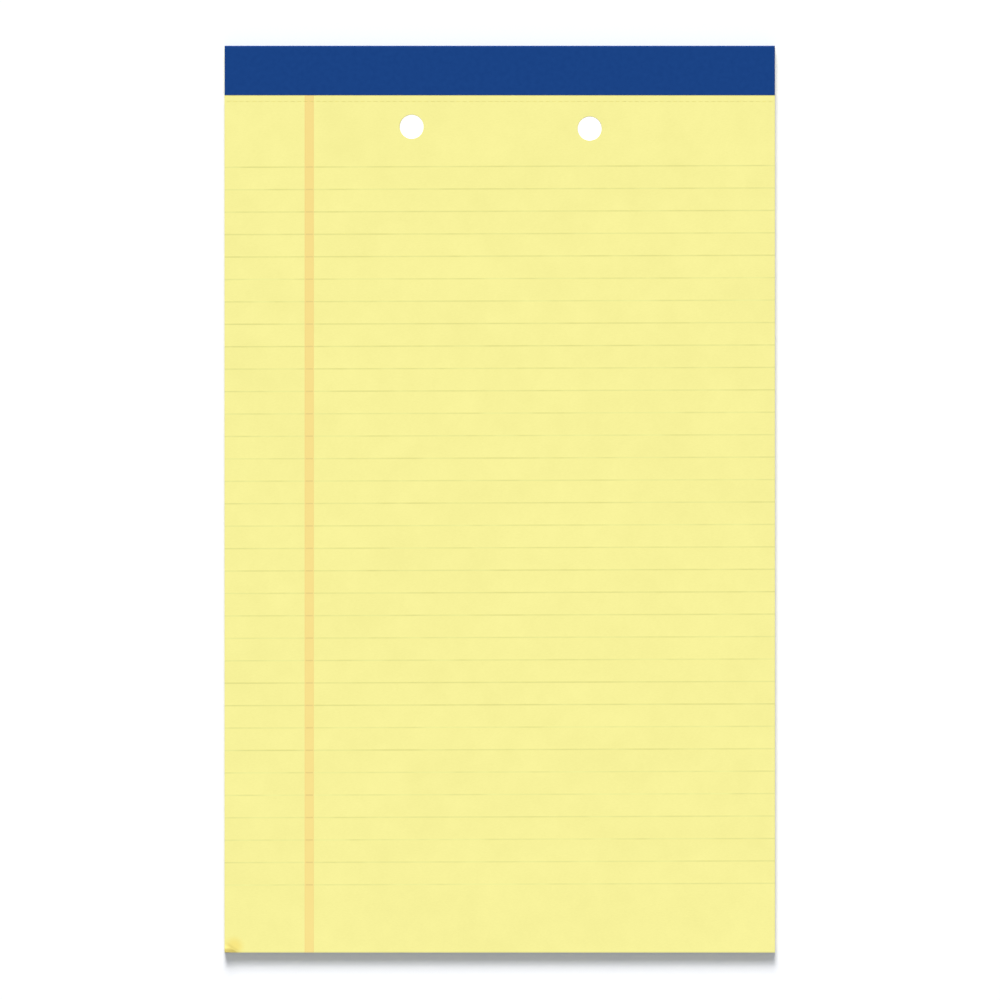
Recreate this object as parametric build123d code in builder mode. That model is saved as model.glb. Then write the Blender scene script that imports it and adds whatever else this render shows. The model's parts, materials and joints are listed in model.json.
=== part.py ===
from build123d import *
import os
from math import degrees, hypot, sin

# A legal-size writing pad that lies face up: the head with its strip towards +Y, the tail towards -Y.
# Millimetres. The origin lies on the desk, under the middle of the pad's outline.

# Trimmed outline of the sheets and the board, 8 1/2 by 14 inches
pad_width = 215.9
pad_length = 355.6

# Thin bond paper, and the chipboard behind it
sheet_count = 50
sheet_thickness = 0.1
board_thickness = 0.7

# Coated paper strip, folded over the head; each flap is measured from the outside of the head
strip_thickness = 0.15
front_flap = 19.4
back_flap = 19.4
head_round = 0.4

# Two filing holes, punched a little askew through the sheets and the board
hole_diameter = 9.5
hole_spacing = 69.85
hole_drop = 12.7
punch_shift = 0.36
punch_tilt = -0.57

# Row of fine slits along which a sheet tears off, just below the strip
slit_length = 1.6
slit_width = 0.15
slit_tie = 0.9
slit_drop = 2.5

# Flat-wire staples under the strip, pressed in flush with the top sheet and the board's back
staple_count = 3
staple_spacing = 72.0
staple_crown = 12.7
staple_drop = 9.5
staple_clinch = 4.5
staple_bend = 0.6
wire_thickness = 0.5
wire_width = 0.7

# Worn corner at the left of the tail, where the top leaf curls up behind a slanting crease
curl_across = 6.0
curl_up = 4.0
curl_radius = 4.5

# Levels above the desk
board_bottom = strip_thickness
board_top = board_bottom + board_thickness
block_height = sheet_count * sheet_thickness
page_top = board_top + block_height

# Places along the pad's length
overall_length = pad_length + strip_thickness
tail_y = -overall_length / 2
head_y = tail_y + pad_length
flap_edge_y = overall_length / 2 - front_flap
back_edge_y = overall_length / 2 - back_flap
slit_y = flap_edge_y - slit_drop
hole_y = flap_edge_y - hole_drop
staple_y = overall_length / 2 - staple_drop
left_x = -pad_width / 2

# The punch's frame: its two pins stand on its own X axis
punch_plane = Plane(Location((punch_shift, hole_y, board_bottom), (0, 0, punch_tilt)))

# The curl's frame: the foot of the corner on the crease, with X out to the corner and Y up
crease_length = hypot(curl_across, curl_up)
corner_reach = curl_across * curl_up / crease_length
toward_corner = Vector(-curl_up, -curl_across, 0).normalized()
corner = Vector(left_x, tail_y, page_top)
crease_foot = corner - toward_corner * corner_reach
curl_angle = corner_reach / curl_radius
curl_plane = Plane(origin=crease_foot, x_dir=toward_corner, z_dir=toward_corner.cross(Vector(0, 0, 1)))
crease_left = Vector(left_x, tail_y + curl_up, 0)
crease_right = Vector(left_x + curl_across, tail_y, 0)
curl_tip = crease_foot + toward_corner * (curl_radius * sin(curl_angle))

os.makedirs("parts", exist_ok=True)


# One staple: crown on the top sheet, legs through the block and the board, ends clinched inwards
with BuildPart() as staple:
    crown_z = page_top - wire_thickness / 2
    clinch_z = board_bottom + wire_thickness / 2
    leg_x = (staple_crown - wire_thickness) / 2
    with BuildSketch(Plane.XZ.offset(-staple_y)):
        with BuildLine():
            FilletPolyline(
                (-leg_x + staple_clinch, clinch_z),
                (-leg_x, clinch_z),
                (-leg_x, crown_z),
                (leg_x, crown_z),
                (leg_x, clinch_z),
                (leg_x - staple_clinch, clinch_z),
                radius=staple_bend,
            )
        trace(line_width=wire_thickness)
    extrude(amount=wire_width / 2, both=True)

with BuildPart() as staples:
    with GridLocations(staple_spacing, 0, staple_count, 1):
        add(staple.part)

staples.part.label = "staples"
export_step(staples.part, "parts/staples.step")


# The corner of the top leaf, bent up along the crease into part of a tube
with BuildPart() as curl:
    with BuildSketch(curl_plane):
        with BuildLine():
            CenterArc(
                (0, curl_radius), curl_radius + sheet_thickness / 2, -90, degrees(curl_angle)
            )
        trace(line_width=sheet_thickness)
    extrude(amount=crease_length, both=True)
    with BuildSketch(Plane.XY.offset(page_top - sheet_thickness)):
        with BuildLine():
            Polyline(
                (crease_left.X, crease_left.Y),
                (crease_right.X, crease_right.Y),
                (curl_tip.X, curl_tip.Y),
                close=True,
            )
        make_face()
    extrude(amount=curl_radius, mode=Mode.INTERSECT)


# The block of sheets: trimmed square, pressed round at the head under the strip
with BuildPart() as sheets:
    with BuildSketch(Plane.XY.offset(board_top)):
        with Locations((0, (head_y + tail_y) / 2)):
            Rectangle(pad_width, pad_length)
    extrude(amount=block_height)
    fillet(sheets.edges().filter_by(Axis.X).group_by(Axis.Y)[-1].sort_by(Axis.Z)[-1], head_round)
    with BuildSketch(punch_plane):
        with GridLocations(hole_spacing, 0, 2, 1):
            Circle(hole_diameter / 2)
    extrude(amount=page_top, mode=Mode.SUBTRACT)
    with BuildSketch(Plane.XY.offset(board_top)):
        slit_pitch = slit_length + slit_tie
        slit_count = int((pad_width - slit_tie) / slit_pitch)
        with Locations((0, slit_y)):
            with GridLocations(slit_pitch, 0, slit_count, 1):
                Rectangle(slit_length, slit_width)
    extrude(amount=block_height, mode=Mode.SUBTRACT)
    with BuildSketch(Plane.XY.offset(page_top)):
        with BuildLine():
            Polyline(
                (crease_left.X, crease_left.Y),
                (crease_right.X, crease_right.Y),
                (left_x, tail_y),
                close=True,
            )
        make_face()
    extrude(amount=-sheet_thickness, mode=Mode.SUBTRACT)
    add(curl.part)
    add(staples.part, mode=Mode.SUBTRACT)

sheets.part.label = "sheets"
export_step(sheets.part, "parts/sheets.step")


# The chipboard back: as wide and long as the sheets, with the same holes
with BuildPart() as backing_board:
    with BuildSketch(Plane.XY.offset(board_bottom)):
        with Locations((0, (head_y + tail_y) / 2)):
            Rectangle(pad_width, pad_length)
    extrude(amount=board_thickness)
    fillet(
        backing_board.edges().filter_by(Axis.X).group_by(Axis.Y)[-1].sort_by(Axis.Z)[0], head_round
    )
    with BuildSketch(punch_plane):
        with GridLocations(hole_spacing, 0, 2, 1):
            Circle(hole_diameter / 2)
    extrude(amount=board_thickness, mode=Mode.SUBTRACT)
    add(staples.part, mode=Mode.SUBTRACT)

backing_board.part.label = "backing_board"
export_step(backing_board.part, "parts/backing_board.step")


# The strip: one length of paper, down the page, over the head and down the back
with BuildPart() as binding_strip:
    half = strip_thickness / 2
    with BuildSketch(Plane.YZ):
        with BuildLine():
            FilletPolyline(
                (back_edge_y, half),
                (head_y + half, half),
                (head_y + half, page_top + half),
                (flap_edge_y, page_top + half),
                radius=head_round + half,
            )
        trace(line_width=strip_thickness)
    extrude(amount=pad_width / 2, both=True)

binding_strip.part.label = "binding_strip"
export_step(binding_strip.part, "parts/binding_strip.step")
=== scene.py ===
import bmesh
import bpy
import json
import math
from mathutils import Matrix, Vector


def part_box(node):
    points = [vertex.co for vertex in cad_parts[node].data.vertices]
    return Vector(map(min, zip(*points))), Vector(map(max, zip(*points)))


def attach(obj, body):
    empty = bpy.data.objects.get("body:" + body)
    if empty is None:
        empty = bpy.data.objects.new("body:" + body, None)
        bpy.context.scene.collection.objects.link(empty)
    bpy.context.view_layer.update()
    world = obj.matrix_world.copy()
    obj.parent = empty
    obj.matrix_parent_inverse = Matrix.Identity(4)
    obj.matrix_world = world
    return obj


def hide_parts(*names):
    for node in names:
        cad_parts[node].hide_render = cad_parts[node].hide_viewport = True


# The looks of a legal-size writing pad: canary sheets with their print, a chipboard back
# and a folded blue strip.
# Metres, in the frame of the solids: the head towards +Y, the page towards +Z, the desk at Z 0.
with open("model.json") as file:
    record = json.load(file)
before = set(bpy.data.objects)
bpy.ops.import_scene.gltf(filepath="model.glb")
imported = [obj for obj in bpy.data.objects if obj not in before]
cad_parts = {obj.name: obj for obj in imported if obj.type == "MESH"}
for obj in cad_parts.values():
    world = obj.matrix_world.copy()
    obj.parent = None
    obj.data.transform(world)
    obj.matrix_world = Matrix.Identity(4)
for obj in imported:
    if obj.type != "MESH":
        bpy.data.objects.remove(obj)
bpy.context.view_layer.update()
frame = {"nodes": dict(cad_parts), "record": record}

mm = 0.001

# Levels and edges, read from the solids, and the rounding of the folded head, which no box gives
board_low, board_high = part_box("backing_board")
strip_low, strip_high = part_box("binding_strip")
page_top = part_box("staples")[1].z
left_x, right_x = board_low.x, board_high.x
tail_y, head_y = board_low.y, board_high.y
strip_thickness = board_low.z - strip_low.z
head_round = 0.4 * mm

# The block of leaves, with a hundredth of a millimetre of air between two of them
leaf_pitch = 0.1 * mm
leaf_thickness = 0.09 * mm
leaves_below = round((page_top - board_high.z) / leaf_pitch) - 1

# How far a leaf has slipped and turned by itself, and how far some five of them have slipped together
leaf_slip = 0.04 * mm
leaf_turn = 0.0002
leaf_seed = 7
group_slip = 0.15 * mm
leaves_in_group = 5.0

# The two filing holes, where the part's mounts are
bores = {m["name"]: m for m in frame["record"]["mounts"] if m["kind"] == "bore"}
hole_left = Vector(bores["hole_left"]["pos_m"])
hole_right = Vector(bores["hole_right"]["pos_m"])
hole_radius = bores["hole_left"]["dims"]["r_mm"] * mm
hole_facets = 64

# The row of slits below the strip
slit_length = 1.6 * mm
slit_tie = 0.9 * mm
slit_width = 0.15 * mm
slit_pitch = slit_length + slit_tie
slit_count = int((right_x - left_x - slit_tie) / slit_pitch)
slit_drop = 2.5 * mm
flap_edge_y = strip_low.y
slit_y = flap_edge_y - slit_drop

# The punch's tools: pins that pass through the whole pad, and blades for the top leaf and its ink
pin_length = page_top * 3
blade_height = leaf_pitch * 4

# The worn corner at the left of the tail, where the top leaf curls up behind a slanting crease
curl_across = 6.0 * mm
curl_up = 4.0 * mm
curl_radius = 4.5 * mm
curl_steps = 12
corner_reach = curl_across * curl_up / math.hypot(curl_across, curl_up)
toward_corner = Vector((-curl_up, -curl_across, 0)).normalized()
crease_foot = Vector((left_x, tail_y, page_top)) - toward_corner * corner_reach

# The corner is golden inside the core and plain again at its reach; painted shade makes it dark in the
# crease and brown along the tail
gold_centre = Vector((left_x + 3.7 * mm, tail_y + 2.4 * mm, page_top))
gold_core = 1.0 * mm
gold_reach = 5.0 * mm
crease_shade_reach = 0.9 * mm
rim_shade_core = 0.9 * mm
rim_shade_reach = 2.0 * mm
rim_shade_past_crease = 0.8 * mm

# The print: ruled lines, and a pale margin band between two thin lines
rule_count = 33
rule_pitch = 8.8 * mm
rule_width = 0.55 * mm
first_rule_y = 130.53 * mm
rule_turn = math.radians(0.19)
margin_left = -76.54 * mm
margin_width = 3.6 * mm
margin_line = 0.35 * mm

# Each kind of ink lies on a level of its own, so that no two surfaces share a place where they cross
ink_sunk = 0.02 * mm
band_proud = 0.006 * mm
rule_proud = 0.01 * mm
line_proud = 0.014 * mm

# The photograph's frame: 1000 pixels square, seen straight from above
photo_pixels = 1000
pixels_per_mm = 2.549
origin_pixel = (499.75, 499.1)
camera_distance = 8.0


# Small functions

def linear(code):
    """An sRGB hex colour as linear red, green, blue and alpha."""
    parts = [int(code[i : i + 2], 16) / 255 for i in (0, 2, 4)]
    return (*[c / 12.92 if c <= 0.04045 else ((c + 0.055) / 1.055) ** 2.4 for c in parts], 1)


def node(tree, kind, inputs=None, **settings):
    """Adds a node. An input takes a value, an output, a node for its first output, or a list of them."""
    made = tree.nodes.new(kind)
    for name, value in settings.items():
        setattr(made, name, value)
    for key, value in (inputs or {}).items():
        socket = next(s for s in made.inputs if s.enabled and key in (s.name, s.identifier))
        for source in value if isinstance(value, list) else [value]:
            if isinstance(source, bpy.types.Node):
                source = next(s for s in source.outputs if s.enabled)
            if isinstance(source, bpy.types.NodeSocket):
                tree.links.new(source, socket)
            else:
                socket.default_value = source
    return made


def new_material(name):
    """A new material, its empty node tree, and the place of a point on the piece."""
    material = bpy.data.materials.new(name)
    material.use_nodes = True
    tree = material.node_tree
    tree.nodes.clear()
    place = node(tree, "ShaderNodeTexCoord").outputs["Object"]
    return material, tree, place


def new_growth(name, inputs):
    """A new Geometry Nodes tree with these named inputs, and the sockets that give them in the tree."""
    tree = bpy.data.node_groups.new(name, "GeometryNodeTree")
    tree.interface.new_socket("Geometry", in_out="OUTPUT", socket_type="NodeSocketGeometry")
    for label, kind in inputs.items():
        tree.interface.new_socket(label, in_out="INPUT", socket_type="NodeSocket" + kind)
    return tree, node(tree, "NodeGroupInput").outputs


def grow(piece, tree, values):
    """Runs the tree on a piece, with its named inputs set, and keeps the result as a plain mesh."""
    modifier = piece.modifiers.new(tree.name, "NODES")
    modifier.node_group = tree
    for item in tree.interface.items_tree:
        if item.in_out == "INPUT" and item.name in values:
            modifier[item.identifier] = values[item.name]
    graph = bpy.context.evaluated_depsgraph_get()
    plain = bpy.data.meshes.new_from_object(
        piece.evaluated_get(graph), preserve_all_data_layers=True, depsgraph=graph
    )
    piece.modifiers.clear()
    piece.data = plain
    plain.name = piece.name
    # The nodes leave an empty slot ahead of the material
    while plain.materials[0] is None:
        plain.materials.pop(index=0)


def new_piece(name, bm=None):
    """A new object at the origin, with the mesh in bm or none yet."""
    mesh = bpy.data.meshes.new(name)
    if bm is not None:
        bm.to_mesh(mesh)
        bm.free()
    piece = bpy.data.objects.new(name, mesh)
    bpy.context.scene.collection.objects.link(piece)
    return piece


def slab(low, high):
    """A closed block between two corners, as a bmesh."""
    low, high = Vector(low), Vector(high)
    bm = bmesh.new()
    place = Matrix.Translation((low + high) / 2) @ Matrix.Diagonal((*(high - low), 1))
    bmesh.ops.create_cube(bm, size=1, matrix=place)
    return bm


def shade_walls(piece):
    """Shades round walls smoothly, and keeps cut edges sharp and level faces flat."""
    cut_edge = math.radians(30)
    nearly_level = 0.9999
    piece.data.shade_smooth()
    piece.data.set_sharp_from_angle(angle=cut_edge)
    for face in piece.data.polygons:
        if abs(face.normal.z) > nearly_level:
            face.use_smooth = False


# Materials

def canary_bond_paper():
    # Canary writing bond: dyed in the pulp, uncoated, pressed flat on the paper machine.
    # It gives the eye an even, shineless yellow with faint clouds and short fibres.
    material, tree, place = new_material("canary_bond_paper")
    # Clouds of pulp, 14 mm across and finer
    clouds = node(
        tree,
        "ShaderNodeTexNoise",
        {"Vector": place, "Scale": 1 / (14 * mm), "Detail": 4, "Roughness": 0.6},
    )
    # Fibres are 0.03 mm wide and 1 to 2 mm long. They are drawn 0.4 mm wide, so that they show.
    across = node(tree, "ShaderNodeMapping", {"Vector": place, "Scale": (1, 3, 1)})
    fibres = node(
        tree,
        "ShaderNodeTexNoise",
        {"Vector": across, "Scale": 1 / (1.2 * mm), "Detail": 2, "Distortion": 0.6},
    )
    pulp = node(tree, "ShaderNodeMix", {"Factor": 0.4, "A": clouds, "B": fibres})
    tone = node(tree, "ShaderNodeMapRange", {"Value": pulp, "From Min": 0.36, "From Max": 0.64})
    clean = node(
        tree,
        "ShaderNodeMix",
        {"Factor": tone, "A": linear("F5EF97"), "B": linear("FAF49C")},
        data_type="RGBA",
    )
    # The worn corner: golden paper, with painted shade in its crease and along its tail edge
    away = node(
        tree, "ShaderNodeVectorMath", {"Vector": place, "Vector_001": gold_centre}, operation="DISTANCE"
    )
    gold_weight = node(
        tree,
        "ShaderNodeMapRange",
        {"Value": away, "From Min": gold_reach, "From Max": gold_core},
        interpolation_type="SMOOTHSTEP",
    )
    golden = node(
        tree,
        "ShaderNodeMix",
        {"Factor": gold_weight, "A": clean, "B": linear("F7E681")},
        data_type="RGBA",
    )
    past_crease = node(
        tree,
        "ShaderNodeVectorMath",
        {"Vector": place, "Vector_001": toward_corner},
        operation="DOT_PRODUCT",
    )
    from_crease = node(
        tree,
        "ShaderNodeMath",
        {"Value": past_crease, "Value_001": crease_foot.dot(toward_corner)},
        operation="SUBTRACT",
    )
    off_crease = node(tree, "ShaderNodeMath", {"Value": from_crease}, operation="ABSOLUTE")
    # Painted shade: darkest on the crease line, and gone at the crease's reach
    crease_shade_depth = node(
        tree,
        "ShaderNodeMapRange",
        {"Value": off_crease, "From Min": crease_shade_reach, "From Max": 0, "To Max": 0.35},
    )
    painted_crease_shade = node(
        tree, "ShaderNodeMath", {"Value": crease_shade_depth, "Value_001": gold_weight}, operation="MULTIPLY"
    )
    # Painted shade along the curl's tail edge, where the lifted corner shades the leaf below
    parts = node(tree, "ShaderNodeSeparateXYZ", {"Vector": place})
    near_tail = node(
        tree,
        "ShaderNodeMapRange",
        {"Value": parts.outputs["Y"], "From Min": tail_y + rim_shade_reach, "From Max": tail_y + rim_shade_core},
    )
    on_curl = node(
        tree, "ShaderNodeMapRange", {"Value": from_crease, "From Min": 0, "From Max": rim_shade_past_crease}
    )
    painted_rim_shade = node(tree, "ShaderNodeMath", {"Value": near_tail, "Value_001": on_curl}, operation="MULTIPLY")
    # The painted shade of the crease and the tail edge together, mixed in as a brown
    painted_shade = node(tree, "ShaderNodeMath", {"Value": painted_crease_shade, "Value_001": painted_rim_shade}, operation="MAXIMUM")
    colour = node(
        tree,
        "ShaderNodeMix",
        {"Factor": painted_shade, "A": golden, "B": linear("C9B862")},
        data_type="RGBA",
    )
    relief = node(tree, "ShaderNodeBump", {"Height": fibres, "Strength": 0.3, "Distance": 0.01 * mm})
    shader = node(
        tree,
        "ShaderNodeBsdfPrincipled",
        {
            "Base Color": colour,
            "Roughness": 0.85,
            "IOR": 1.5,
            "Specular IOR Level": 0.2,
            "Normal": relief,
        },
    )
    node(tree, "ShaderNodeOutputMaterial", {"Surface": shader})
    return material


def trimmed_bond_edges():
    # The same bond, guillotined as a block. Its edges give fine level streaks, one tone to a leaf,
    # crossed by the faint upright marks of the knife.
    material, tree, place = new_material("trimmed_bond_edges")
    leaf = node(tree, "ShaderNodeAttribute", attribute_name="leaf_tone").outputs["Fac"]
    # Knife marks stand upright, about 1 mm apart
    upright = node(tree, "ShaderNodeMapping", {"Vector": place, "Scale": (1, 1, 0.02)})
    knife = node(tree, "ShaderNodeTexNoise", {"Vector": upright, "Scale": 1 / (1 * mm), "Detail": 3})
    tone = node(tree, "ShaderNodeMix", {"Factor": 0.3, "A": leaf, "B": knife})
    colour = node(
        tree,
        "ShaderNodeMix",
        {"Factor": tone, "A": linear("EADF83"), "B": linear("FCF6A4")},
        data_type="RGBA",
    )
    shader = node(
        tree,
        "ShaderNodeBsdfPrincipled",
        {"Base Color": colour, "Roughness": 0.9, "IOR": 1.5, "Specular IOR Level": 0.15},
    )
    node(tree, "ShaderNodeOutputMaterial", {"Surface": shader})
    return material


def ruling_ink():
    # Grey-green ruling ink, laid thin by the pens of a ruling machine.
    # It gives faint lines that swell and fade a little on their way across the page.
    material, tree, place = new_material("ruling_ink")
    load = node(tree, "ShaderNodeAttribute", attribute_name="ink_load").outputs["Fac"]
    # The film swells and fades over some 12 mm along a line
    film = node(tree, "ShaderNodeTexNoise", {"Vector": place, "Scale": 1 / (12 * mm), "Detail": 2})
    swell = node(tree, "ShaderNodeMapRange", {"Value": film, "From Min": 0.35, "From Max": 0.65})
    depth = node(tree, "ShaderNodeMix", {"Factor": 0.6, "A": load, "B": swell})
    on_paper = node(
        tree,
        "ShaderNodeMix",
        {"Factor": depth, "A": linear("F5F29B"), "B": linear("E4E08B")},
        data_type="RGBA",
    )
    # The two inks add up where a line crosses the margin band
    parts = node(tree, "ShaderNodeSeparateXYZ", {"Vector": place})
    crossing = node(
        tree,
        "ShaderNodeMath",
        {
            "Value": parts.outputs["X"],
            "Value_001": margin_left + margin_width / 2,
            "Value_002": margin_width / 2,
        },
        operation="COMPARE",
    )
    colour = node(
        tree,
        "ShaderNodeMix",
        {"Factor": crossing, "A": on_paper, "B": linear("E9D384")},
        data_type="RGBA",
    )
    shader = node(
        tree,
        "ShaderNodeBsdfPrincipled",
        {"Base Color": colour, "Roughness": 0.8, "IOR": 1.5, "Specular IOR Level": 0.2},
    )
    node(tree, "ShaderNodeOutputMaterial", {"Surface": shader})
    return material


def margin_ink(name, thin, full):
    # Salmon margin ink over the yellow. It gives a warm tint, cloudy where the paper drank more of it,
    # and paler towards the tail, where the pen ran drier.
    material, tree, place = new_material(name)
    # Clouds 9 mm across and finer
    clouds = node(tree, "ShaderNodeTexNoise", {"Vector": place, "Scale": 1 / (9 * mm), "Detail": 4})
    parts = node(tree, "ShaderNodeSeparateXYZ", {"Vector": place})
    supply = node(
        tree,
        "ShaderNodeMapRange",
        {"Value": parts.outputs["Y"], "From Min": tail_y, "From Max": head_y},
    )
    film = node(tree, "ShaderNodeMix", {"Factor": 0.55, "A": clouds, "B": supply})
    colour = node(
        tree,
        "ShaderNodeMix",
        {"Factor": film, "A": linear(thin), "B": linear(full)},
        data_type="RGBA",
    )
    shader = node(
        tree,
        "ShaderNodeBsdfPrincipled",
        {"Base Color": colour, "Roughness": 0.8, "IOR": 1.5, "Specular IOR Level": 0.2},
    )
    node(tree, "ShaderNodeOutputMaterial", {"Surface": shader})
    return material


def blue_printed_paper():
    # Clay-coated paper, printed solid blue on its outer side and folded.
    # It gives a deep, smooth blue with a low sheen at a slant, and white pulp where it is cut.
    material, tree, place = new_material("blue_printed_paper")
    # The print's mottle, 2 mm across and finer
    mottle = node(tree, "ShaderNodeTexNoise", {"Vector": place, "Scale": 1 / (2 * mm), "Detail": 4})
    ink = node(
        tree,
        "ShaderNodeMix",
        {"Factor": mottle, "A": linear("0F3B7D"), "B": linear("174488")},
        data_type="RGBA",
    )
    printed = node(tree, "ShaderNodeAttribute", attribute_name="printed").outputs["Fac"]
    colour = node(
        tree,
        "ShaderNodeMix",
        {"Factor": printed, "A": linear("D9DCDF"), "B": ink},
        data_type="RGBA",
    )
    relief = node(tree, "ShaderNodeBump", {"Height": mottle, "Strength": 0.2, "Distance": 0.01 * mm})
    shader = node(
        tree,
        "ShaderNodeBsdfPrincipled",
        {
            "Base Color": colour,
            "Roughness": 0.5,
            "IOR": 1.5,
            "Specular IOR Level": 0.06,
            "Normal": relief,
        },
    )
    node(tree, "ShaderNodeOutputMaterial", {"Surface": shader})
    return material


def pressed_chipboard():
    # Grey-brown chipboard, pressed from waste paper. It gives a dull, cloudy ground with short fibres
    # that lie along the pad, and dark flecks of old print.
    material, tree, place = new_material("pressed_chipboard")
    # Clouds 12 mm across and finer
    clouds = node(tree, "ShaderNodeTexNoise", {"Vector": place, "Scale": 1 / (12 * mm), "Detail": 5})
    # Fibres 0.4 mm wide and 2 mm long
    along = node(tree, "ShaderNodeMapping", {"Vector": place, "Scale": (5, 1, 5)})
    fibres = node(
        tree,
        "ShaderNodeTexNoise",
        {"Vector": along, "Scale": 1 / (2 * mm), "Detail": 3, "Distortion": 1},
    )
    pulp = node(tree, "ShaderNodeMix", {"Factor": 0.55, "A": clouds, "B": fibres})
    tone = node(tree, "ShaderNodeMapRange", {"Value": pulp, "From Min": 0.35, "From Max": 0.65})
    ground = node(
        tree,
        "ShaderNodeMix",
        {"Factor": tone, "A": linear("97886F"), "B": linear("B8AB94")},
        data_type="RGBA",
    )
    # Flecks are 0.3 mm across. They are drawn 1 mm across, some 6 mm apart, so that they show.
    cells = node(tree, "ShaderNodeTexVoronoi", {"Vector": place, "Scale": 1 / (6 * mm)})
    fleck = node(
        tree,
        "ShaderNodeMapRange",
        {"Value": cells, "From Min": 0.06, "From Max": 0.11, "To Min": 0.55, "To Max": 0},
    )
    colour = node(
        tree,
        "ShaderNodeMix",
        {"Factor": fleck, "A": ground, "B": linear("5F564B")},
        data_type="RGBA",
    )
    relief = node(tree, "ShaderNodeBump", {"Height": fibres, "Strength": 0.5, "Distance": 0.04 * mm})
    shader = node(
        tree,
        "ShaderNodeBsdfPrincipled",
        {
            "Base Color": colour,
            "Roughness": 0.9,
            "IOR": 1.5,
            "Specular IOR Level": 0.2,
            "Normal": relief,
        },
    )
    node(tree, "ShaderNodeOutputMaterial", {"Surface": shader})
    return material


def galvanised_wire():
    # Flat steel wire, zinc-plated and drawn. It gives a dull grey metal with fine streaks along it.
    material, tree, place = new_material("galvanised_wire")
    # Drawing marks 0.1 mm wide
    across = node(tree, "ShaderNodeMapping", {"Vector": place, "Scale": (1, 20, 1)})
    marks = node(tree, "ShaderNodeTexNoise", {"Vector": across, "Scale": 1 / (2 * mm), "Detail": 2})
    colour = node(
        tree,
        "ShaderNodeMix",
        {"Factor": marks, "A": linear("B4B5B6"), "B": linear("CFCFCD")},
        data_type="RGBA",
    )
    rough = node(tree, "ShaderNodeMapRange", {"Value": marks, "To Min": 0.28, "To Max": 0.45})
    shader = node(
        tree, "ShaderNodeBsdfPrincipled", {"Base Color": colour, "Metallic": 1, "Roughness": rough}
    )
    node(tree, "ShaderNodeOutputMaterial", {"Surface": shader})
    return material


# Geometry Nodes trees

def punching():
    """Cuts the two filing holes and the row of slits through a leaf, a board or a field of ink."""
    tree, given = new_growth(
        "punching",
        {
            "Geometry": "Geometry",
            "Hole Left": "Vector",
            "Hole Right": "Vector",
            "Hole Radius": "Float",
            "Hole Facets": "Int",
            "Slit Count": "Int",
            "First Slit": "Vector",
            "Slit Step": "Vector",
            "Slit Size": "Vector",
            "Pin Length": "Float",
            "Paper": "Material",
        },
    )
    pin = node(
        tree,
        "GeometryNodeMeshCylinder",
        {
            "Vertices": given["Hole Facets"],
            "Radius": given["Hole Radius"],
            "Depth": given["Pin Length"],
        },
    )
    pin_places = node(
        tree,
        "GeometryNodeMeshLine",
        {"Count": 2, "Start Location": given["Hole Left"], "Offset": given["Hole Right"]},
        mode="END_POINTS",
    )
    pins = node(tree, "GeometryNodeInstanceOnPoints", {"Points": pin_places, "Instance": pin})
    blade = node(tree, "GeometryNodeMeshCube", {"Size": given["Slit Size"]})
    blade_places = node(
        tree,
        "GeometryNodeMeshLine",
        {
            "Count": given["Slit Count"],
            "Start Location": given["First Slit"],
            "Offset": given["Slit Step"],
        },
    )
    blades = node(tree, "GeometryNodeInstanceOnPoints", {"Points": blade_places, "Instance": blade})
    tools = node(tree, "GeometryNodeJoinGeometry", {"Geometry": [pins, blades]})
    solid_tools = node(tree, "GeometryNodeRealizeInstances", {"Geometry": tools})
    cut = node(
        tree,
        "GeometryNodeMeshBoolean",
        {"Mesh 1": given["Geometry"], "Mesh 2": solid_tools},
        operation="DIFFERENCE",
        solver="EXACT",
    )
    whole = node(tree, "GeometryNodeRealizeInstances", {"Geometry": cut})
    covered = node(tree, "GeometryNodeSetMaterial", {"Geometry": whole, "Material": given["Paper"]})
    node(tree, "NodeGroupOutput", {"Geometry": covered})
    return tree


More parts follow.
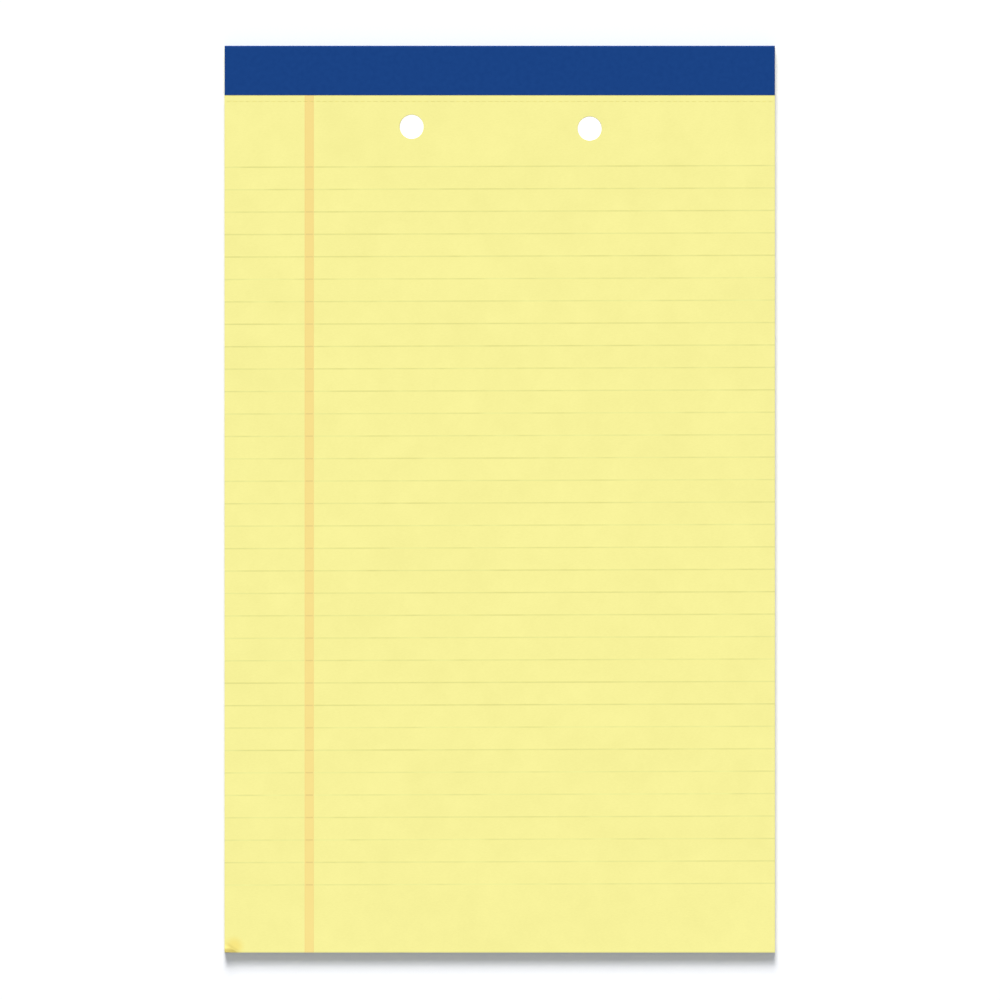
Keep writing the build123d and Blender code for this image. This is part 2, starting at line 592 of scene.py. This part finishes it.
def stacking():
    """Piles up copies of one leaf. Each has slipped a hair, and groups of them have slipped together."""
    tree, given = new_growth(
        "stacking",
        {
            "Geometry": "Geometry",
            "Leaf Count": "Int",
            "Leaf Pitch": "Float",
            "Leaf Slip": "Vector",
            "Group Slip": "Vector",
            "Leaves in Group": "Float",
            "Leaf Turn": "Float",
            "Seed": "Int",
            "Paper": "Material",
        },
    )
    rise = node(tree, "ShaderNodeCombineXYZ", {"Z": given["Leaf Pitch"]})
    places = node(tree, "GeometryNodeMeshLine", {"Count": given["Leaf Count"], "Offset": rise})
    leaves = node(
        tree, "GeometryNodeInstanceOnPoints", {"Points": places, "Instance": given["Geometry"]}
    )
    own = node(
        tree,
        "FunctionNodeRandomValue",
        {"Min": (-1, -1, -1), "Max": (1, 1, 1), "Seed": given["Seed"]},
        data_type="FLOAT_VECTOR",
    )
    own_slip = node(
        tree,
        "ShaderNodeVectorMath",
        {"Vector": own, "Vector_001": given["Leaf Slip"]},
        operation="MULTIPLY",
    )
    index = node(tree, "GeometryNodeInputIndex")
    number = node(tree, "ShaderNodeMath", {"Value": index, "Value_001": given["Seed"]}, operation="ADD")
    group = node(
        tree,
        "ShaderNodeMath",
        {"Value": number, "Value_001": given["Leaves in Group"]},
        operation="DIVIDE",
    )
    wave = node(tree, "ShaderNodeTexNoise", {"W": group, "Scale": 1, "Detail": 1}, noise_dimensions="1D")
    centred = node(
        tree,
        "ShaderNodeVectorMath",
        {"Vector": wave.outputs["Color"], "Vector_001": (0.5, 0.5, 0.5)},
        operation="SUBTRACT",
    )
    group_slip = node(
        tree,
        "ShaderNodeVectorMath",
        {"Vector": centred, "Vector_001": given["Group Slip"]},
        operation="MULTIPLY",
    )
    slip = node(
        tree, "ShaderNodeVectorMath", {"Vector": own_slip, "Vector_001": group_slip}, operation="ADD"
    )
    slipped = node(
        tree, "GeometryNodeTranslateInstances", {"Instances": leaves, "Translation": slip}
    )
    most_turned = node(
        tree, "ShaderNodeMath", {"Value": given["Leaf Turn"], "Value_001": -1}, operation="MULTIPLY"
    )
    turn = node(
        tree,
        "FunctionNodeRandomValue",
        {"Min": most_turned, "Max": given["Leaf Turn"], "Seed": given["Seed"]},
        data_type="FLOAT",
    )
    about_z = node(tree, "ShaderNodeCombineXYZ", {"Z": turn})
    turned = node(tree, "GeometryNodeRotateInstances", {"Instances": slipped, "Rotation": about_z})
    own_tone = node(tree, "FunctionNodeRandomValue", {"Seed": given["Seed"]}, data_type="FLOAT")
    tone = node(tree, "ShaderNodeMix", {"Factor": 0.5, "A": own_tone, "B": wave})
    toned = node(
        tree,
        "GeometryNodeStoreNamedAttribute",
        {"Geometry": turned, "Name": "leaf_tone", "Value": tone},
        data_type="FLOAT",
        domain="INSTANCE",
    )
    whole = node(tree, "GeometryNodeRealizeInstances", {"Geometry": toned})
    covered = node(tree, "GeometryNodeSetMaterial", {"Geometry": whole, "Material": given["Paper"]})
    node(tree, "NodeGroupOutput", {"Geometry": covered})
    return tree


def printing():
    """Lays equal bars of ink at even steps, each with a load of ink of its own."""
    tree, given = new_growth(
        "printing",
        {
            "Bar Count": "Int",
            "First Bar": "Vector",
            "Bar Step": "Vector",
            "Bar Size": "Vector",
            "Bar Turn": "Float",
            "Seed": "Int",
            "Ink": "Material",
        },
    )
    bar = node(tree, "GeometryNodeMeshCube", {"Size": given["Bar Size"]})
    places = node(
        tree,
        "GeometryNodeMeshLine",
        {
            "Count": given["Bar Count"],
            "Start Location": given["First Bar"],
            "Offset": given["Bar Step"],
        },
    )
    about_z = node(tree, "ShaderNodeCombineXYZ", {"Z": given["Bar Turn"]})
    bars = node(
        tree, "GeometryNodeInstanceOnPoints", {"Points": places, "Instance": bar, "Rotation": about_z}
    )
    load = node(tree, "FunctionNodeRandomValue", {"Seed": given["Seed"]}, data_type="FLOAT")
    loaded = node(
        tree,
        "GeometryNodeStoreNamedAttribute",
        {"Geometry": bars, "Name": "ink_load", "Value": load},
        data_type="FLOAT",
        domain="INSTANCE",
    )
    whole = node(tree, "GeometryNodeRealizeInstances", {"Geometry": loaded})
    covered = node(tree, "GeometryNodeSetMaterial", {"Geometry": whole, "Material": given["Ink"]})
    node(tree, "NodeGroupOutput", {"Geometry": covered})
    return tree


# Pieces

def punch(piece, tree, paper, slits):
    """Punches a piece where the solids are punched."""
    grow(
        piece,
        tree,
        {
            "Hole Left": hole_left,
            "Hole Right": hole_right,
            "Hole Radius": hole_radius,
            "Hole Facets": hole_facets,
            "Slit Count": slits,
            "First Slit": (-slit_pitch * (slit_count - 1) / 2, slit_y, page_top),
            "Slit Step": (slit_pitch, 0, 0),
            "Slit Size": (slit_length, slit_width, blade_height),
            "Pin Length": pin_length,
            "Paper": paper,
        },
    )


def press_head(mesh):
    """Keeps leaves inside the strip: flush at the head, and pressed round under its upper fold."""
    centre_y = head_y - head_round
    centre_z = page_top - head_round
    for v in mesh.vertices:
        rise = min(max(v.co.z - centre_z, 0), head_round)
        v.co.y = min(v.co.y, centre_y + math.sqrt(head_round**2 - rise**2))


def make_top_leaf(tree, paper):
    """The leaf that shows: punched, slit, and bent up into part of a tube at its worn corner."""
    bm = slab((left_x, tail_y, page_top - leaf_pitch), (right_x, head_y, page_top))
    # Cuts along the crease, from one step inside the page on to the corner, let the leaf bend there
    for step in range(-1, curl_steps):
        bmesh.ops.bisect_plane(
            bm,
            geom=bm.verts[:] + bm.edges[:] + bm.faces[:],
            plane_co=crease_foot + toward_corner * (corner_reach * step / curl_steps),
            plane_no=toward_corner,
        )
    leaf = new_piece("top_leaf", bm)
    punch(leaf, tree, paper, slit_count)
    for v in leaf.data.vertices:
        past_crease = (v.co - crease_foot).dot(toward_corner)
        if past_crease > 0:
            angle = past_crease / curl_radius
            radius = curl_radius + page_top - v.co.z
            v.co += toward_corner * (radius * math.sin(angle) - past_crease)
            v.co.z = page_top + curl_radius - radius * math.cos(angle)
    press_head(leaf.data)
    shade_walls(leaf)
    return leaf


def make_leaf_stack(punching_tree, stacking_tree, paper):
    """The leaves under the top one, trimmed and punched, and slipped by hundredths of a millimetre."""
    bm = slab((left_x, tail_y, board_high.z), (right_x, head_y, board_high.z + leaf_thickness))
    stack = new_piece("leaf_stack", bm)
    punch(stack, punching_tree, paper, 0)
    grow(
        stack,
        stacking_tree,
        {
            "Leaf Count": leaves_below,
            "Leaf Pitch": leaf_pitch,
            "Leaf Slip": (leaf_slip, leaf_slip, 0),
            "Group Slip": (group_slip, group_slip, 0),
            "Leaves in Group": leaves_in_group,
            "Leaf Turn": leaf_turn,
            "Seed": leaf_seed,
            "Paper": paper,
        },
    )
    press_head(stack.data)
    shade_walls(stack)
    return stack


def make_print(tree, name, ink, count, first, step, size, turn, proud, seed):
    """One kind of printed bar. It starts in the paper, and its top stands a hair proud of the page."""
    bars = new_piece(name)
    grow(
        bars,
        tree,
        {
            "Bar Count": count,
            "First Bar": (*first, page_top + (proud - ink_sunk) / 2),
            "Bar Step": (*step, 0),
            "Bar Size": (*size, proud + ink_sunk),
            "Bar Turn": turn,
            "Seed": seed,
            "Ink": ink,
        },
    )
    return bars


def make_board(tree, board_material):
    """The chipboard back, rounded where the strip folds under it."""
    round_steps = 8
    bm = slab(board_low, board_high)
    middle = (board_low.z + board_high.z) / 2
    folded = [e for e in bm.edges if all(v.co.y > 0 and v.co.z < middle for v in e.verts)]
    bmesh.ops.bevel(
        bm, geom=folded, offset=head_round, segments=round_steps, profile=0.5, affect="EDGES"
    )
    board = new_piece("board", bm)
    punch(board, tree, board_material, 0)
    shade_walls(board)
    return board


def make_strip(material):
    """The folded strip: from its back edge along the board, over the head, and down the page."""
    half = strip_thickness / 2
    fold = head_round + half
    fold_steps = 10
    # A short run beside each fold keeps the bend out of the shading of the flat flaps
    run_in = 0.1 * mm
    out_y = strip_high.y - half
    low_z = strip_low.z + half
    top_z = strip_high.z - half
    # Stations along the middle of the paper: a place, and the direction of its outer side
    down, out, up = Vector((0, 0, -1)), Vector((0, 1, 0)), Vector((0, 0, 1))
    stations = [
        (Vector((0, strip_low.y, low_z)), down),
        (Vector((0, out_y - fold - run_in, low_z)), down),
    ]
    for centre_z, start, end in ((low_z + fold, down, out), (top_z - fold, out, up)):
        centre = Vector((0, out_y - fold, centre_z))
        for step in range(fold_steps + 1):
            angle = math.pi / 2 * step / fold_steps
            outward = start * math.cos(angle) + end * math.sin(angle)
            stations.append((centre + outward * fold, outward))
    stations.append((Vector((0, out_y - fold - run_in, top_z)), up))
    stations.append((Vector((0, flap_edge_y, top_z)), up))
    bm = bmesh.new()
    printed = bm.faces.layers.float.new("printed")
    rings = []
    for place, outward in stations:
        corners = []
        for x, side in ((left_x, 1), (right_x, 1), (right_x, -1), (left_x, -1)):
            corners.append(bm.verts.new(Vector((x, 0, 0)) + place + outward * (half * side)))
        rings.append(corners)
    for a, b in zip(rings, rings[1:]):
        for i in range(4):
            j = (i + 1) % 4
            face = bm.faces.new((a[i], a[j], b[j], b[i]))
            # The first of the four sides is the outer one, which alone is printed
            face[printed] = 1.0 if i == 0 else 0.0
    bm.faces.new(rings[0])
    bm.faces.new(rings[-1])
    bmesh.ops.recalc_face_normals(bm, faces=bm.faces)
    strip = new_piece("strip", bm)
    strip.data.materials.append(material)
    shade_walls(strip)
    return strip


# The pad, piece by piece

paper = canary_bond_paper()
punching_tree = punching()
stacking_tree = stacking()
printing_tree = printing()

top_leaf = make_top_leaf(punching_tree, paper)
leaf_stack = make_leaf_stack(punching_tree, stacking_tree, trimmed_bond_edges())

ruled_lines = make_print(
    printing_tree,
    "ruled_lines",
    ruling_ink(),
    count=rule_count,
    first=(0, first_rule_y),
    step=(0, -rule_pitch),
    size=(right_x - left_x, rule_width),
    turn=rule_turn,
    proud=rule_proud,
    seed=3,
)

# The margin runs from under the strip's edge to the tail
print_top_y = flap_edge_y + strip_thickness
print_middle_y = (print_top_y + tail_y) / 2
band_ink = margin_ink("margin_tint", "F9E48E", "F6DB87")
margin_band = make_print(
    printing_tree,
    "margin_band",
    band_ink,
    count=1,
    first=(margin_left + margin_width / 2, print_middle_y),
    step=(0, 0),
    size=(margin_width, print_top_y - tail_y),
    turn=0.0,
    proud=band_proud,
    seed=4,
)
punch(margin_band, punching_tree, band_ink, slit_count)

line_ink = margin_ink("margin_line_ink", "F7E08C", "F4D785")
margin_lines = make_print(
    printing_tree,
    "margin_lines",
    line_ink,
    count=2,
    first=(margin_left + margin_line / 2, print_middle_y),
    step=(margin_width - margin_line, 0),
    size=(margin_line, print_top_y - tail_y),
    turn=0.0,
    proud=line_proud,
    seed=5,
)
punch(margin_lines, punching_tree, line_ink, slit_count)

board = make_board(punching_tree, pressed_chipboard())
strip = make_strip(blue_printed_paper())

# The staples keep their solids and get their wire's finish
staples = frame["nodes"]["staples"]
staples.data.materials.clear()
staples.data.materials.append(galvanised_wire())

# The solid that each piece stands for, and the slot that its finish belongs to
stands_for = {
    top_leaf: ("sheets", "canary_paper"),
    leaf_stack: ("sheets", "canary_paper"),
    ruled_lines: ("sheets", "canary_paper"),
    margin_band: ("sheets", "canary_paper"),
    margin_lines: ("sheets", "canary_paper"),
    board: ("backing_board", "chipboard"),
    strip: ("binding_strip", "blue_coated_paper"),
}
for piece, (solid, slot) in stands_for.items():
    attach(piece, "root")
    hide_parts(solid)


# The studio: a pale floor, a white dome and a tall soft light beyond the head

# The floor lies a hair below the pad, so that no two faces share a place
floor_radius = 8.0
floor_sunk = 0.02 * mm
ground_past_hole = 0.5 * mm
ground_facets = 64

# The light on a level page adds up to one, at which a colour shows as it is written
dome_light = 0.25
key_light = 0.75
key_elevations = {"key_low": math.radians(41), "key_high": math.radians(54)}
key_turn = math.radians(4)
key_width = math.radians(22)


def seen_directly(tree):
    """One for a ray that shows the background: from the camera, in a reflection or through glass."""
    path = node(tree, "ShaderNodeLightPath").outputs
    mirrored = node(
        tree,
        "ShaderNodeMath",
        {"Value": path["Is Camera Ray"], "Value_001": path["Is Glossy Ray"]},
        operation="MAXIMUM",
    )
    return node(
        tree,
        "ShaderNodeMath",
        {"Value": mirrored, "Value_001": path["Is Transmission Ray"]},
        operation="MAXIMUM",
    )


def white_paper_sweep(glow):
    # Matt white paper, rolled out as a floor. Its glow reaches only the eye, so it whitens the ground
    # and lights nothing.
    material, tree, _ = new_material("white_paper_sweep")
    matt = node(tree, "ShaderNodeBsdfDiffuse", {"Color": linear("F3F3F3")})
    shine = node(tree, "ShaderNodeEmission", {"Color": linear(glow), "Strength": seen_directly(tree)})
    both = node(tree, "ShaderNodeAddShader", {"Shader": matt, "Shader_001": shine})
    node(tree, "ShaderNodeOutputMaterial", {"Surface": both})
    return material


def make_ground(name, centre, radius, glow):
    """A round piece of floor."""
    bm = bmesh.new()
    bmesh.ops.create_circle(
        bm, cap_ends=True, segments=ground_facets, radius=radius, matrix=Matrix.Translation(centre)
    )
    ground = new_piece(name, bm)
    ground.data.materials.append(white_paper_sweep(glow))


# The floor glows a little blue, as brightened paper does. It cools the shadow, as in the photograph.
make_ground("floor", (0, 0, -floor_sunk), floor_radius, "636A77")
# The photograph shows plain white ground through the two holes
# Painted light: under each hole the ground glows full white to the eye, which clears the pad's shadow
# there
for name, hole in (("painted_light_ground_left", hole_left), ("painted_light_ground_right", hole_right)):
    make_ground(name, (hole.x, hole.y, 0), hole_radius + ground_past_hole, "FFFFFF")

world = bpy.data.worlds.new("studio")
bpy.context.scene.world = world
world.use_nodes = True
world.node_tree.nodes.clear()
brightness = node(
    world.node_tree,
    "ShaderNodeMapRange",
    {"Value": seen_directly(world.node_tree), "To Min": dome_light, "To Max": 1},
)
dome = node(
    world.node_tree, "ShaderNodeBackground", {"Color": linear("FFFFFF"), "Strength": brightness}
)
node(world.node_tree, "ShaderNodeOutputWorld", {"Surface": dome})

# The light is taller than wide: two round lamps, one above the other. It keeps the shadow long and
# soft below the tail and slight at the sides, as in the photograph. It stands a little to the left of
# the head, so that the left side throws almost none.
for name, elevation in key_elevations.items():
    lamp = bpy.data.lights.new(name, "SUN")
    lamp.angle = key_width
    lamp.energy = key_light / 2 * math.pi / math.sin(elevation)
    key = bpy.data.objects.new(name, lamp)
    key.rotation_euler = (elevation - math.pi / 2, 0, key_turn)
    bpy.context.scene.collection.objects.link(key)

# The camera looks straight down at the page, from far off, because the photograph shows no perspective
lens = bpy.data.cameras.new("camera")
frame_width = photo_pixels / pixels_per_mm * mm
lens.lens = lens.sensor_width * camera_distance / frame_width
camera = bpy.data.objects.new("camera", lens)
camera.location = (
    (photo_pixels / 2 - origin_pixel[0]) / pixels_per_mm * mm,
    (origin_pixel[1] - photo_pixels / 2) / pixels_per_mm * mm,
    page_top + camera_distance,
)
bpy.context.scene.collection.objects.link(camera)
bpy.context.scene.camera = camera
bpy.context.scene.view_settings.view_transform = "Standard"
